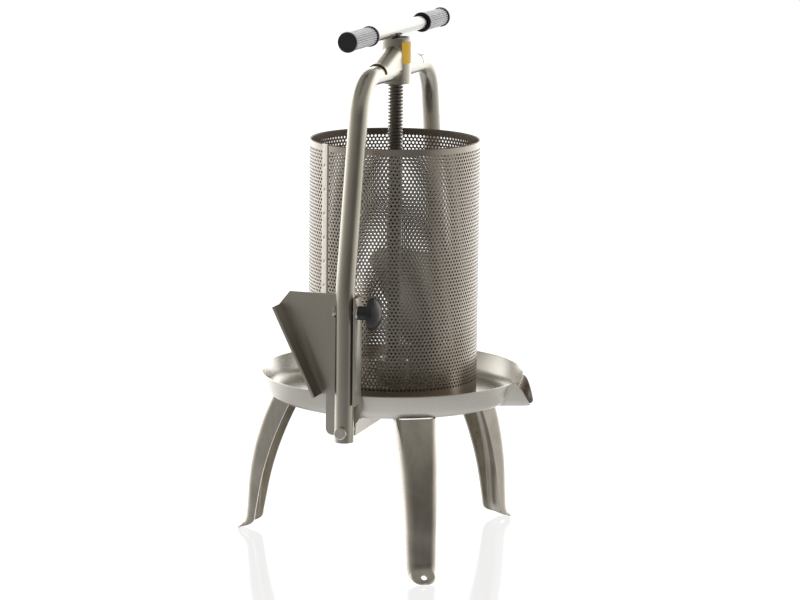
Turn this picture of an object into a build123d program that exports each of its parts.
# Bench screw press for fruit: a folding tube bow over a loose basket in a three-legged tray.
# Millimetres, +Z up. The origin lies on the floor under the screw, the spout points along +X,
# the bow's pivots lie on the Y axis' two sides and the bow folds back towards -X.
import os
from math import asin, atan2, cos, degrees, radians, sin

from build123d import *

# Clearances
weld_gap = 0.1
running_gap = 0.3
stop_gap = 1.0

# Tray
tray_bottom_z = 181.0
tray_sheet = 1.5
tray_depth = 30.0
tray_rim_r = 155.0
tray_wall_flare = 9.0
tray_corner_r = 18.0

# Spout
spout_reach = 17.0
spout_root_half = 21.0
spout_tip_half = 7.0
spout_root_depth = 22.0
spout_flare = 8.0
spout_lip_height = 2.5

# Legs
leg_sheet = 2.5
leg_top_inset = 5.5
leg_spread = 41.0
leg_shin_height = 48.0
leg_shin_lean = 3.0
leg_foot_bend_r = 19.0
leg_toe_slope_angle = 8.0
leg_toe_drop = 0.6
leg_toe_r = 13.0
leg_top_half = 23.5
leg_mid_half = 18.6
leg_foot_half = 16.4
leg_top_flange = 28.5
leg_mid_flange = 26.5
leg_end_flange = 14.0
leg_flange_end_height = 23.0
leg_hole_r = 3.5
leg_hole_inset = 9.5
leg_rear_azimuth = 180.0
leg_spacing_angle = 120.0
leg_names = ["leg_rear", "leg_front_right", "leg_front_left"]

# Crossbar and pivots
crossbar_size = 16.0
crossbar_wall = 1.5
plug_length = 25.0
pivot_bolt_r = 5.0
pivot_head_r = 7.0
pivot_head_height = 5.0
pivot_bush_r = 7.0
pivot_washer_r = 8.5
pivot_washer_thickness = 2.4

# Stop brackets
bracket_sheet = 3.0
bracket_gap = 3.0
bracket_height = 155.0
bracket_lug_left = 27.0
bracket_lug_right = 9.0
bracket_lug_drop = 9.0
bracket_lug_corner_r = 8.0
bracket_lug_top = 6.0
bracket_front_foot = 15.0
bracket_chamfer = 13.0
front_flange_width = 24.0
front_flange_bottom = 31.0
rear_flange_width = 27.0
rear_flange_start = 49.0
rear_flange_end = 162.0
fold_angle = 26.0

# Bow
tube_r = 11.0
tube_wall = 2.0
tube_end_drop = 12.0
bow_kink_height = 162.0
bow_kink_r = 180.0
bow_shoulder_y = 126.6
bow_shoulder_r = 48.0
brace_r = 10.0
brace_wall = 2.0
brace_foot_y = 66.0
brace_rise = 18.5

# Hub, nut and label
hub_clearance = 65.0
sleeve_r = 17.5
sleeve_bore_r = 13.5
sleeve_height = 54.0
sleeve_below_tube = 5.0
sleeve_chamfer = 1.0
nut_height = 30.0
label_thickness = 0.3
label_height = 25.0
label_half_angle = 30.0
label_azimuth = -20.0
label_top_inset = 5.0

# Basket
basket_r = 100.0
basket_sheet = 1.5
basket_height = 305.0
seam_width = 10.5
seam_sheet = 1.0
seam_azimuth = -125.0

# Press plate and its swivel
plate_gap = 8.5
plate_lift_from_floor = 20.0
plate_sheet = 4.0
boss_r = 20.0
boss_height = 18.0
boss_bore_depth = 9.0
boss_chamfer = 2.0
collar_r = 11.0
collar_height = 5.0

# Screw
screw_r = 9.0
screw_pitch = 4.0
thread_depth = 2.25
thread_crest = 1.45
thread_root = 1.45
pivot_end_r = 7.0
spigot_r = 5.0
spigot_depth = 9.0

# Handle
bar_r = 8.0
bar_gap = 1.0
handle_half = 176.0
grip_length = 80.0
grip_r = 10.75
grip_collar_r = 11.8
grip_collar_width = 4.0
grip_end_wall = 4.0

# Lock knob
lock_height = 138.0
stud_r = 3.3
stud_chamfer = 1.0
lock_hole_r = 4.3
insert_body_r = 5.5
insert_flange_r = 7.0
insert_flange_height = 1.6
stud_tip_depth = 8.0
stud_in_knob = 14.0
lock_washer_r = 8.0
lock_washer_thickness = 1.6
knob_hub_r = 8.0
knob_hub_length = 9.5
knob_head_r = 18.5
knob_head_height = 17.0
knob_dome_height = 8.0
knob_back_slope = 4.0
knob_edge_r = 3.0

# Places worked out from the sizes above
tray_rim_z = tray_bottom_z + tray_depth
tray_floor_z = tray_bottom_z + tray_sheet
tray_wall_foot_r = tray_rim_r - tray_wall_flare
spout_tip_x = tray_rim_r + spout_reach
pivot_z = tray_bottom_z - crossbar_size / 2
bracket_inner_y = tray_rim_r + bracket_gap
bracket_outer_y = bracket_inner_y + bracket_sheet
pivot_y = bracket_outer_y + pivot_washer_thickness + 2 * running_gap + tube_r
tube_inner_y = pivot_y - tube_r
tube_outer_y = pivot_y + tube_r
front_stop_x = tube_r + stop_gap
front_face_x = front_stop_x + bracket_sheet
basket_top_z = tray_floor_z + basket_height
sleeve_bottom_z = basket_top_z + hub_clearance
sleeve_top_z = sleeve_bottom_z + sleeve_height
bow_top_z = sleeve_bottom_z + sleeve_below_tube + tube_r
bar_z = sleeve_top_z + bar_gap + bar_r
plate_bottom_z = tray_floor_z + plate_lift_from_floor
plate_top_z = plate_bottom_z + plate_sheet
plate_r = basket_r - basket_sheet - plate_gap
boss_top_z = plate_top_z + boss_height
lock_z = pivot_z + lock_height
leg_top_r = tray_wall_foot_r - leg_top_inset
leg_ankle_r = leg_top_r + leg_spread
leg_shin_r = leg_ankle_r - leg_shin_lean
leg_toe_slope = radians(leg_toe_slope_angle)
leg_toe_z = leg_sheet - leg_toe_drop
leg_ankle_z = leg_toe_z + leg_foot_bend_r * (cos(leg_toe_slope) - leg_shin_lean / leg_shin_height)
leg_foot_r = leg_ankle_r + leg_foot_bend_r * (1 - sin(leg_toe_slope))

os.makedirs("parts", exist_ok=True)


def save(shape, name):
    """Label a finished piece and write it as its own file."""
    shape.label = name
    export_step(shape, f"parts/{name}.step")


def to_side(shape, name):
    """Write the right-hand piece, built at -Y, and its mirror image for the left."""
    save(shape, f"{name}_right")
    save(mirror(shape, about=Plane.XZ), f"{name}_left")


def radial_plane(azimuth):
    """Upright plane through the screw axis: local x runs outwards, local y runs up."""
    a = radians(azimuth)
    return Plane(origin=(0, 0, 0), x_dir=(cos(a), sin(a), 0), z_dir=(sin(a), -cos(a), 0))


def facing_plane(azimuth):
    """Upright plane seen from outside: local x runs sideways, local y runs up."""
    a = radians(azimuth)
    return Plane(origin=(0, 0, 0), x_dir=(-sin(a), cos(a), 0), z_dir=(cos(a), sin(a), 0))


def plan_plane(azimuth):
    """Level plane on the floor: local x runs outwards."""
    a = radians(azimuth)
    return Plane(origin=(0, 0, 0), x_dir=(cos(a), sin(a), 0), z_dir=(0, 0, 1))


# Tray: a spun pan with a beak pulled out of its wall
def spout_block(inset, floor_z, top_z):
    """The beak as a solid: narrow at its tip, flaring upwards, set in by a sheet's thickness."""
    root_x = tray_wall_foot_r - spout_root_depth
    bottom = [
        (root_x, spout_root_half - inset),
        (spout_tip_x - inset, spout_tip_half - inset),
    ]
    top = [
        (root_x, spout_root_half + spout_flare - inset),
        (spout_tip_x + spout_flare - inset, spout_tip_half + spout_flare - inset),
    ]
    with BuildPart() as block:
        for z, outline in ((floor_z, bottom), (top_z, top)):
            with BuildSketch(Plane.XY.offset(z)):
                Polygon(
                    outline[0],
                    outline[1],
                    (outline[1][0], -outline[1][1]),
                    (outline[0][0], -outline[0][1]),
                    align=None,
                )
        loft(ruled=True)
    return block.part


spout_outer = spout_block(0, tray_bottom_z, tray_rim_z)
spout_inner = spout_block(tray_sheet, tray_floor_z, tray_rim_z + tray_sheet)
with BuildPart() as tray:
    with BuildSketch(Plane.XZ):
        with BuildLine():
            FilletPolyline(
                (0, tray_bottom_z),
                (tray_wall_foot_r, tray_bottom_z),
                (tray_rim_r, tray_rim_z),
                radius=tray_corner_r,
            )
            Line((tray_rim_r, tray_rim_z), (0, tray_rim_z))
            Line((0, tray_rim_z), (0, tray_bottom_z))
        make_face()
    revolve(axis=Axis.Z)
    add(spout_outer)
    with BuildSketch(Plane.XZ):
        with BuildLine():
            FilletPolyline(
                (0, tray_floor_z),
                (tray_wall_foot_r - tray_sheet, tray_floor_z),
                (tray_rim_r - tray_sheet, tray_rim_z + tray_sheet),
                radius=tray_corner_r - tray_sheet,
            )
            Line((tray_rim_r - tray_sheet, tray_rim_z + tray_sheet), (0, tray_rim_z + tray_sheet))
            Line((0, tray_rim_z + tray_sheet), (0, tray_floor_z))
        make_face()
    revolve(axis=Axis.Z, mode=Mode.SUBTRACT)
    add(spout_inner, mode=Mode.SUBTRACT)
    # The lip falls in a curve from the rim to the end of the beak.
    lip_z = tray_bottom_z + spout_lip_height
    lip_start_x = tray_rim_r - spout_flare
    with BuildSketch(Plane.XZ):
        with BuildLine():
            ThreePointArc(
                (lip_start_x, tray_rim_z + tray_sheet),
                ((lip_start_x + 2 * spout_tip_x) / 3, (2 * tray_rim_z + lip_z) / 3),
                (spout_tip_x, lip_z),
            )
            Line((spout_tip_x, lip_z), (spout_tip_x + 2 * spout_flare, lip_z))
            Line((spout_tip_x + 2 * spout_flare, lip_z), (spout_tip_x + 2 * spout_flare, 2 * tray_rim_z))
            Line((spout_tip_x + 2 * spout_flare, 2 * tray_rim_z), (lip_start_x, 2 * tray_rim_z))
            Line((lip_start_x, 2 * tray_rim_z), (lip_start_x, tray_rim_z + tray_sheet))
        make_face()
    extrude(amount=spout_root_half + spout_flare, both=True, mode=Mode.SUBTRACT)
save(tray.part, "tray")


# Legs: pressed channels with an outward-turned foot
def leg_web(inset):
    """Points of a leg's web line (toe, ankle, shin, top) moved inwards, and the shin's angle."""
    shin = (leg_shin_r, leg_shin_height)
    ankle = (leg_ankle_r, leg_ankle_z)
    toe = (leg_foot_r, leg_toe_z)
    top = (leg_top_r, tray_bottom_z)
    shin_angle = atan2(shin[1] - ankle[1], shin[0] - ankle[0])
    top_angle = 2 * atan2(top[1] - shin[1], top[0] - shin[0]) - shin_angle
    toe_angle = 2 * atan2(ankle[1] - toe[1], ankle[0] - toe[0]) - shin_angle
    places = ((toe, toe_angle), (ankle, shin_angle), (shin, shin_angle), (top, top_angle))
    points = [(p[0] - inset * sin(a), p[1] + inset * cos(a)) for p, a in places]
    return points, shin_angle


def draw_leg_web(points, angle):
    """Draw the web line: the foot's curve, the straight shin and the long bend to the tray."""
    toe, ankle, shin, top = points
    TangentArc(ankle, toe, tangent=(-cos(angle), -sin(angle)))
    Line(ankle, shin)
    TangentArc(shin, top, tangent=(cos(angle), sin(angle)))


def leg_front(azimuth, inset, reach):
    """The leg's tapering front outline run outwards from the screw axis."""
    top_z = tray_bottom_z
    mid_z = 0.58 * tray_bottom_z
    with BuildPart() as front:
        with BuildSketch(facing_plane(azimuth)):
            with BuildLine():
                for s in (-1, 1):
                    ThreePointArc(
                        (s * (leg_top_half - inset), top_z),
                        (s * (leg_mid_half - inset), mid_z),
                        (s * (leg_foot_half - inset), 0),
                    )
                Line((inset - leg_top_half, top_z), (leg_top_half - inset, top_z))
                Line((inset - leg_foot_half, 0), (leg_foot_half - inset, 0))
            make_face()
        extrude(amount=reach)
    return front.part


def make_leg(azimuth):
    """One leg standing at the given azimuth."""
    outer, angle = leg_web(0)
    inner, angle = leg_web(leg_sheet)
    front_outer = leg_front(azimuth, 0, 2 * leg_foot_r)
    front_inner = leg_front(azimuth, leg_sheet, 2 * leg_foot_r)
    flange_top = (outer[3][0] - leg_top_flange, outer[3][1])
    flange_mid_z = (outer[2][1] + outer[3][1]) / 2
    flange_mid = ((outer[2][0] + outer[3][0]) / 2 + leg_end_flange - leg_mid_flange, flange_mid_z)
    flange_end = (leg_shin_r - leg_end_flange, leg_flange_end_height)
    # Room between the flanges, open towards the screw axis.
    with BuildPart() as room:
        with BuildSketch(radial_plane(azimuth)):
            with BuildLine():
                draw_leg_web(inner, angle)
                Line(inner[3], (inner[3][0], 2 * tray_bottom_z))
                Line((inner[3][0], 2 * tray_bottom_z), (0, 2 * tray_bottom_z))
                Line((0, 2 * tray_bottom_z), (0, -leg_shin_height))
                Line((0, -leg_shin_height), (inner[0][0], -leg_shin_height))
                Line((inner[0][0], -leg_shin_height), inner[0])
            make_face()
        extrude(amount=leg_top_half, both=True)
        add(front_inner, mode=Mode.INTERSECT)
    with BuildPart() as leg:
        with BuildSketch(radial_plane(azimuth)):
            with BuildLine():
                draw_leg_web(outer, angle)
                Line(outer[3], flange_top)
                ThreePointArc(flange_top, flange_mid, flange_end)
                Line(flange_end, inner[1])
                TangentArc(inner[1], inner[0], tangent=(-cos(angle), -sin(angle)))
                Line(inner[0], outer[0])
            make_face()
        extrude(amount=2 * leg_top_half, both=True)
        add(front_outer, mode=Mode.INTERSECT)
        add(room.part, mode=Mode.SUBTRACT)
        with BuildSketch(plan_plane(azimuth)) as toe_plan:
            Rectangle(leg_foot_r, 2 * (leg_foot_half + running_gap), align=(Align.MIN, Align.CENTER))
            fillet(toe_plan.vertices().group_by(Axis.X)[-1], radius=leg_toe_r)
            Rectangle(leg_foot_r - leg_toe_r, 2 * leg_top_half, align=(Align.MIN, Align.CENTER))
        extrude(amount=tray_bottom_z, mode=Mode.INTERSECT)
        hole_at = plan_plane(azimuth) * Pos(leg_foot_r - leg_hole_inset, 0, 0)
        with BuildSketch(Plane(hole_at)):
            Circle(leg_hole_r)
        extrude(amount=leg_shin_height, mode=Mode.SUBTRACT)
    return leg.part


for place, leg_name in enumerate(leg_names):
    save(make_leg(leg_rear_azimuth + place * leg_spacing_angle), leg_name)


# Crossbar under the tray, with a threaded plug in each end for the pivot bolts
with BuildPart() as crossbar:
    with BuildSketch(Plane.XZ):
        with Locations((0, pivot_z)):
            Rectangle(crossbar_size, crossbar_size)
            Rectangle(
                crossbar_size - 2 * crossbar_wall,
                crossbar_size - 2 * crossbar_wall,
                mode=Mode.SUBTRACT,
            )
    extrude(amount=bracket_inner_y, both=True)
save(crossbar.part, "crossbar")

with BuildPart() as crossbar_plug:
    with BuildSketch(Plane.XZ.offset(bracket_inner_y - plug_length)):
        with Locations((0, pivot_z)):
            plug_size = crossbar_size - 2 * crossbar_wall - 2 * weld_gap
            Rectangle(plug_size, plug_size)
            Circle(pivot_bolt_r + weld_gap, mode=Mode.SUBTRACT)
    extrude(amount=plug_length)
to_side(crossbar_plug.part, "crossbar_plug")

with BuildPart() as pivot_bolt:
    with BuildSketch(Plane.XZ.offset(bracket_inner_y - plug_length)):
        with Locations((0, pivot_z)):
            Circle(pivot_bolt_r)
    extrude(amount=tube_outer_y + running_gap - bracket_inner_y + plug_length)
    with BuildSketch(Plane.XZ.offset(tube_outer_y + running_gap)):
        with Locations((0, pivot_z)):
            Circle(pivot_head_r)
    extrude(amount=pivot_head_height)
    fillet(pivot_bolt.faces().sort_by(Axis.Y)[0].edges(), radius=pivot_head_height / 3)
to_side(pivot_bolt.part, "pivot_bolt")

with BuildPart() as pivot_washer:
    with BuildSketch(Plane.XZ.offset(bracket_outer_y + running_gap)):
        with Locations((0, pivot_z)):
            Circle(pivot_washer_r)
            Circle(pivot_bolt_r + running_gap, mode=Mode.SUBTRACT)
    extrude(amount=pivot_washer_thickness)
to_side(pivot_washer.part, "pivot_washer")

# Stop brackets: a side plate with a front flange and a sloping rear flange for the tube to rest on
fold = radians(fold_angle)
rear_far = tube_r + stop_gap + bracket_sheet


def on_fold_line(along, offset):
    """Point in the bracket's plane by its distance up the folded tube's line and in front of it."""
    return (
        offset * cos(fold) - along * sin(fold),
        pivot_z + along * cos(fold) + offset * sin(fold),
    )


with BuildPart() as stop_bracket:
    bracket_top_z = pivot_z + bracket_height
    lug_bottom_z = pivot_z - bracket_lug_drop
    front_bottom_z = pivot_z + front_flange_bottom
    rear_top = on_fold_line(rear_flange_end, -rear_far)
    rear_foot = on_fold_line(rear_flange_start, -rear_far)
    rear_inner_foot = on_fold_line(rear_flange_start, bracket_sheet - rear_far)
    with BuildSketch(Plane.XZ.offset(bracket_inner_y)) as side_plate:
        Polygon(
            (front_face_x, bracket_top_z),
            (rear_top[0] + bracket_chamfer, bracket_top_z),
            rear_top,
            rear_foot,
            (-bracket_lug_left, rear_inner_foot[1]),
            (-bracket_lug_left, lug_bottom_z),
            (bracket_lug_right, lug_bottom_z),
            (bracket_lug_right, pivot_z + bracket_lug_top),
            (front_face_x, pivot_z + bracket_front_foot),
            align=None,
        )
        lug_corners = side_plate.vertices().group_by(Axis.Y)[0]
        fillet(lug_corners, radius=bracket_lug_corner_r)
        with Locations((0, pivot_z)):
            Circle(pivot_bolt_r + running_gap, mode=Mode.SUBTRACT)
    extrude(amount=bracket_sheet)
    with BuildSketch(Plane.XZ.offset(bracket_inner_y)):
        Polygon(
            (front_stop_x, front_bottom_z),
            (front_face_x, front_bottom_z),
            (front_face_x, bracket_top_z),
            (front_stop_x, bracket_top_z),
            align=None,
        )
    extrude(amount=front_flange_width)
    with BuildSketch(Plane.XZ.offset(bracket_inner_y)):
        Polygon(
            on_fold_line(rear_flange_start, -rear_far),
            on_fold_line(rear_flange_start, bracket_sheet - rear_far),
            on_fold_line(rear_flange_end, bracket_sheet - rear_far),
            on_fold_line(rear_flange_end, -rear_far),
            align=None,
        )
    extrude(amount=rear_flange_width)
    # The two folds are rounded on their outsides.
    front_fold = (front_face_x, -bracket_inner_y, (front_bottom_z + bracket_top_z) / 2)
    rear_mid = on_fold_line((rear_flange_start + rear_flange_end) / 2, -rear_far)
    rear_fold = (rear_mid[0], -bracket_inner_y, rear_mid[1])
    for fold_place in (front_fold, rear_fold):
        fillet(stop_bracket.edges().sort_by_distance(fold_place)[0], radius=0.8 * bracket_sheet)
left_bracket = mirror(stop_bracket.part, about=Plane.XZ)
with BuildPart() as stop_bracket_right:
    add(stop_bracket.part)
    with BuildSketch(Plane.YZ.offset(front_stop_x)):
        with Locations((-pivot_y, lock_z)):
            Circle(lock_hole_r)
    extrude(amount=bracket_sheet, mode=Mode.SUBTRACT)
save(stop_bracket_right.part, "stop_bracket_right")
save(left_bracket, "stop_bracket_left")

# Bow: two bent tubes meeting at the hub
bow_path = [
    (-pivot_y, pivot_z - tube_end_drop),
    (-pivot_y, pivot_z + bow_kink_height),
    (-bow_shoulder_y, bow_top_z),
    (0, bow_top_z),
]


def tube_along_bow(radius):
    """A round bar bent along the right-hand half of the bow."""
    with BuildPart() as bent:
        with BuildLine(Plane.YZ):
            FilletPolyline(*bow_path, radius=[bow_kink_r, bow_shoulder_r])
        with BuildSketch(Plane.XY.offset(bow_path[0][1])):
            with Locations((0, -pivot_y)):
                Circle(radius)
        sweep()
    return bent.part


tube_outside = tube_along_bow(tube_r)
tube_inside = tube_along_bow(tube_r - tube_wall)
with BuildPart() as bow_tube:
    add(tube_outside)
    add(tube_inside, mode=Mode.SUBTRACT)
    with BuildSketch(Plane.XY.offset(sleeve_bottom_z)):
        Circle(sleeve_r + weld_gap)
    extrude(amount=sleeve_height, mode=Mode.SUBTRACT)
    with BuildSketch(Plane.XZ.offset(tube_inner_y - running_gap)):
        with Locations((0, pivot_z)):
            Circle(pivot_bush_r + weld_gap)
    extrude(amount=2 * tube_r + 2 * running_gap, mode=Mode.SUBTRACT)
bow_tube_left = mirror(bow_tube.part, about=Plane.XZ)
with BuildPart() as bow_tube_right:
    add(bow_tube.part)
    with BuildSketch(Plane.YZ):
        with Locations((-pivot_y, lock_z)):
            Circle(lock_hole_r)
    extrude(amount=2 * tube_r, mode=Mode.SUBTRACT)
    with BuildSketch(Plane.YZ):
        with Locations((-pivot_y, lock_z)):
            Circle(insert_body_r + weld_gap)
    extrude(amount=-2 * tube_r, mode=Mode.SUBTRACT)
save(bow_tube_right.part, "bow_tube_right")
save(bow_tube_left, "bow_tube_left")

with BuildPart() as pivot_bush:
    with BuildSketch(Plane.XZ.offset(tube_inner_y)):
        with Locations((0, pivot_z)):
            Circle(pivot_bush_r)
            Circle(pivot_bolt_r + running_gap, mode=Mode.SUBTRACT)
    extrude(amount=2 * tube_r)
to_side(pivot_bush.part, "pivot_bush")

# Braces: short tubes that climb from the bow's shoulders to the upper part of the hub
tube_clear = tube_along_bow(tube_r + weld_gap)
with BuildPart() as brace:
    slope = atan2(brace_rise, brace_foot_y - sleeve_r)
    brace_foot_z = bow_top_z + tube_r - brace_r / cos(slope)
    along_brace = Plane(
        origin=(0, -brace_foot_y, brace_foot_z),
        x_dir=(1, 0, 0),
        z_dir=(0, cos(slope), sin(slope)),
    )
    with BuildSketch(along_brace):
        Circle(brace_r)
        Circle(brace_r - brace_wall, mode=Mode.SUBTRACT)
    extrude(amount=brace_foot_y / cos(slope))
    add(tube_clear, mode=Mode.SUBTRACT)
    with BuildSketch(Plane.XY.offset(sleeve_bottom_z)):
        Circle(sleeve_r + weld_gap)
    extrude(amount=sleeve_height, mode=Mode.SUBTRACT)
to_side(brace.part, "brace")

# Hub sleeve, its press nut and a blank label
with BuildPart() as nut_sleeve:
    with BuildSketch(Plane.XY.offset(sleeve_bottom_z)):
        Circle(sleeve_r)
        Circle(sleeve_bore_r, mode=Mode.SUBTRACT)
    extrude(amount=sleeve_height)
    chamfer(nut_sleeve.faces().sort_by(Axis.Z)[-1].edges(), length=sleeve_chamfer)
save(nut_sleeve.part, "nut_sleeve")

with BuildPart() as press_nut:
    with BuildSketch(Plane.XY.offset(sleeve_bottom_z)):
        Circle(sleeve_bore_r - weld_gap)
        Circle(screw_r + running_gap, mode=Mode.SUBTRACT)
    extrude(amount=nut_height)
save(press_nut.part, "press_nut")

with BuildPart() as hub_label:
    label_r = sleeve_r + weld_gap
    with BuildSketch(Plane.XY.offset(sleeve_top_z - label_top_inset - label_height)):
        with BuildLine():
            for radius in (label_r, label_r + label_thickness):
                CenterArc((0, 0), radius, label_azimuth - label_half_angle, 2 * label_half_angle)
            for end in (-label_half_angle, label_half_angle):
                a = radians(label_azimuth + end)
                Line(
                    (label_r * cos(a), label_r * sin(a)),
                    ((label_r + label_thickness) * cos(a), (label_r + label_thickness) * sin(a)),
                )
        make_face()
    extrude(amount=label_height)
save(hub_label.part, "hub_label")

# Basket: a bottomless cylinder with a strip over its seam
with BuildPart() as basket_wall:
    with BuildSketch(Plane.XY.offset(tray_floor_z)):
        Circle(basket_r)
        Circle(basket_r - basket_sheet, mode=Mode.SUBTRACT)
    extrude(amount=basket_height)
save(basket_wall.part, "basket_wall")

with BuildPart() as basket_seam:
    seam_half = degrees(seam_width / (2 * basket_r))
    seam_in = basket_r + weld_gap
    seam_out = seam_in + seam_sheet
    with BuildSketch(Plane.XY.offset(tray_floor_z)):
        with BuildLine():
            for radius in (seam_in, seam_out):
                CenterArc((0, 0), radius, seam_azimuth - seam_half, 2 * seam_half)
            for end in (-seam_half, seam_half):
                a = radians(seam_azimuth + end)
                Line((seam_in * cos(a), seam_in * sin(a)), (seam_out * cos(a), seam_out * sin(a)))
        make_face()
    extrude(amount=basket_height)
save(basket_seam.part, "basket_seam")

# Press plate with the boss that the screw's end turns in
with BuildPart() as press_plate:
    with BuildSketch(Plane.XY.offset(plate_bottom_z)):
        Circle(plate_r)
    extrude(amount=plate_sheet)
    fillet(press_plate.edges(), radius=plate_sheet / 4)
save(press_plate.part, "press_plate")

with BuildPart() as swivel_boss:
    with BuildSketch(Plane.XY.offset(plate_top_z)):
        Circle(boss_r)
    extrude(amount=boss_height)
    chamfer(swivel_boss.faces().sort_by(Axis.Z)[-1].edges(), length=boss_chamfer)
    with BuildSketch(Plane.XY.offset(plate_top_z)):
        Circle(pivot_end_r + running_gap)
    extrude(amount=boss_height, mode=Mode.SUBTRACT)
    with BuildSketch(Plane.XY.offset(plate_top_z)):
        Circle(collar_r + running_gap)
    extrude(amount=boss_height - boss_bore_depth, mode=Mode.SUBTRACT)
save(swivel_boss.part, "swivel_boss")

# Screw: the thread is drawn as rings of its own pitch
thread_start_z = boss_top_z + running_gap
collar_top_z = plate_top_z + boss_height - boss_bore_depth - running_gap
collar_bottom_z = collar_top_z - collar_height
neck_top_z = sleeve_top_z + bar_gap
thread_flank = (screw_pitch - thread_crest - thread_root) / 2
thread_root_r = screw_r - thread_depth
thread_turns = int((neck_top_z - thread_start_z) // screw_pitch)
with BuildPart() as press_screw:
    outline = [
        (0, collar_bottom_z),
        (pivot_end_r, collar_bottom_z),
        (pivot_end_r, thread_start_z),
    ]
    for turn in range(thread_turns):
        z = thread_start_z + turn * screw_pitch
        outline.append((screw_r, z))
        outline.append((screw_r, z + thread_crest))
        outline.append((thread_root_r, z + thread_crest + thread_flank))
        outline.append((thread_root_r, z + screw_pitch - thread_flank))
    outline.append((thread_root_r, neck_top_z))
    outline.append((spigot_r, neck_top_z))
    outline.append((spigot_r, neck_top_z + spigot_depth))
    outline.append((0, neck_top_z + spigot_depth))
    with BuildSketch(Plane.XZ):
        Polygon(*outline, align=None)
    revolve(axis=Axis.Z)
save(press_screw.part, "press_screw")

with BuildPart() as retaining_collar:
    with BuildSketch(Plane.XY.offset(collar_bottom_z)):
        Circle(collar_r)
        Circle(pivot_end_r + weld_gap, mode=Mode.SUBTRACT)
    extrude(amount=collar_height)
save(retaining_collar.part, "retaining_collar")

# Handle bar and its two grips
with BuildPart() as handle_bar:
    with BuildSketch(Plane.XZ):
        with Locations((0, bar_z)):
            Circle(bar_r)
    extrude(amount=handle_half - grip_end_wall - weld_gap, both=True)
    with BuildSketch(Plane.XY.offset(neck_top_z - running_gap)):
        Circle(spigot_r + weld_gap)
    extrude(amount=spigot_depth + 2 * running_gap, mode=Mode.SUBTRACT)
save(handle_bar.part, "handle_bar")

with BuildPart() as grip:
    grip_start = handle_half - grip_length
    with BuildSketch(Plane.XY):
        Polygon(
            (bar_r + weld_gap, grip_start),
            (grip_collar_r, grip_start),
            (grip_collar_r, grip_start + grip_collar_width),
            (grip_r, grip_start + grip_collar_width),
            (grip_r, handle_half - grip_collar_width),
            (grip_collar_r, handle_half - grip_collar_width),
            (grip_collar_r, handle_half),
            (0, handle_half),
            (0, handle_half - grip_end_wall),
            (bar_r + weld_gap, handle_half - grip_end_wall),
            align=None,
        )
    revolve(axis=Axis.Y)
    fillet(grip.faces().sort_by(Axis.Y)[-1].edges(), radius=grip_collar_width / 3)
left_grip = Pos(0, 0, bar_z) * grip.part
save(left_grip, "grip_left")
save(mirror(left_grip, about=Plane.XZ), "grip_right")

# Lock: a knob on a stud that runs through the front flange into an insert in the right-hand tube
knob_start_x = front_face_x + lock_washer_thickness
knob_head_x = knob_start_x + knob_hub_length
knob_end_x = knob_head_x + knob_head_height
with BuildPart() as lock_insert:
    with BuildSketch(Plane.YZ.offset(-tube_r - weld_gap)):
        with Locations((-pivot_y, lock_z)):
            Circle(insert_flange_r)
    extrude(amount=-insert_flange_height)
    with BuildSketch(Plane.YZ.offset(-tube_r - weld_gap)):
        with Locations((-pivot_y, lock_z)):
            Circle(insert_body_r)
    extrude(amount=tube_r)
    with BuildSketch(Plane.YZ):
        with Locations((-pivot_y, lock_z)):
            Circle(lock_hole_r)
    extrude(amount=2 * tube_r, both=True, mode=Mode.SUBTRACT)
save(lock_insert.part, "lock_insert")

with BuildPart() as lock_washer:
    with BuildSketch(Plane.YZ.offset(front_face_x)):
        with Locations((-pivot_y, lock_z)):
            Circle(lock_washer_r)
            Circle(stud_r + running_gap, mode=Mode.SUBTRACT)
    extrude(amount=lock_washer_thickness)
save(lock_washer.part, "lock_washer")

with BuildPart() as lock_stud:
    with BuildSketch(Plane.YZ.offset(-stud_tip_depth)):
        with Locations((-pivot_y, lock_z)):
            Circle(stud_r)
    extrude(amount=stud_tip_depth + knob_start_x + stud_in_knob)
    chamfer(lock_stud.faces().sort_by(Axis.X)[0].edges(), length=stud_chamfer)
save(lock_stud.part, "lock_stud")

with BuildPart() as lock_knob:
    rim_x = knob_end_x - knob_dome_height
    dome_r = (knob_head_r**2 + knob_dome_height**2) / (2 * knob_dome_height)
    dome_half = asin(knob_head_r / dome_r) / 2
    bore_end_x = knob_start_x + stud_in_knob + weld_gap
    with BuildSketch(Plane.XY):
        with BuildLine():
            Polyline(
                (bore_end_x, 0),
                (bore_end_x, stud_r + weld_gap),
                (knob_start_x, stud_r + weld_gap),
                (knob_start_x, knob_hub_r),
                (knob_head_x, knob_hub_r),
                (knob_head_x + knob_back_slope, knob_head_r),
                (rim_x, knob_head_r),
            )
            ThreePointArc(
                (rim_x, knob_head_r),
                (knob_end_x - dome_r * (1 - cos(dome_half)), dome_r * sin(dome_half)),
                (knob_end_x, 0),
            )
            Line((knob_end_x, 0), (bore_end_x, 0))
        make_face()
    revolve(axis=Axis.X)
    fillet(lock_knob.edges().sort_by_distance((rim_x, knob_head_r, 0))[0], radius=knob_edge_r)
save(Pos(0, -pivot_y, lock_z) * lock_knob.part, "lock_knob")
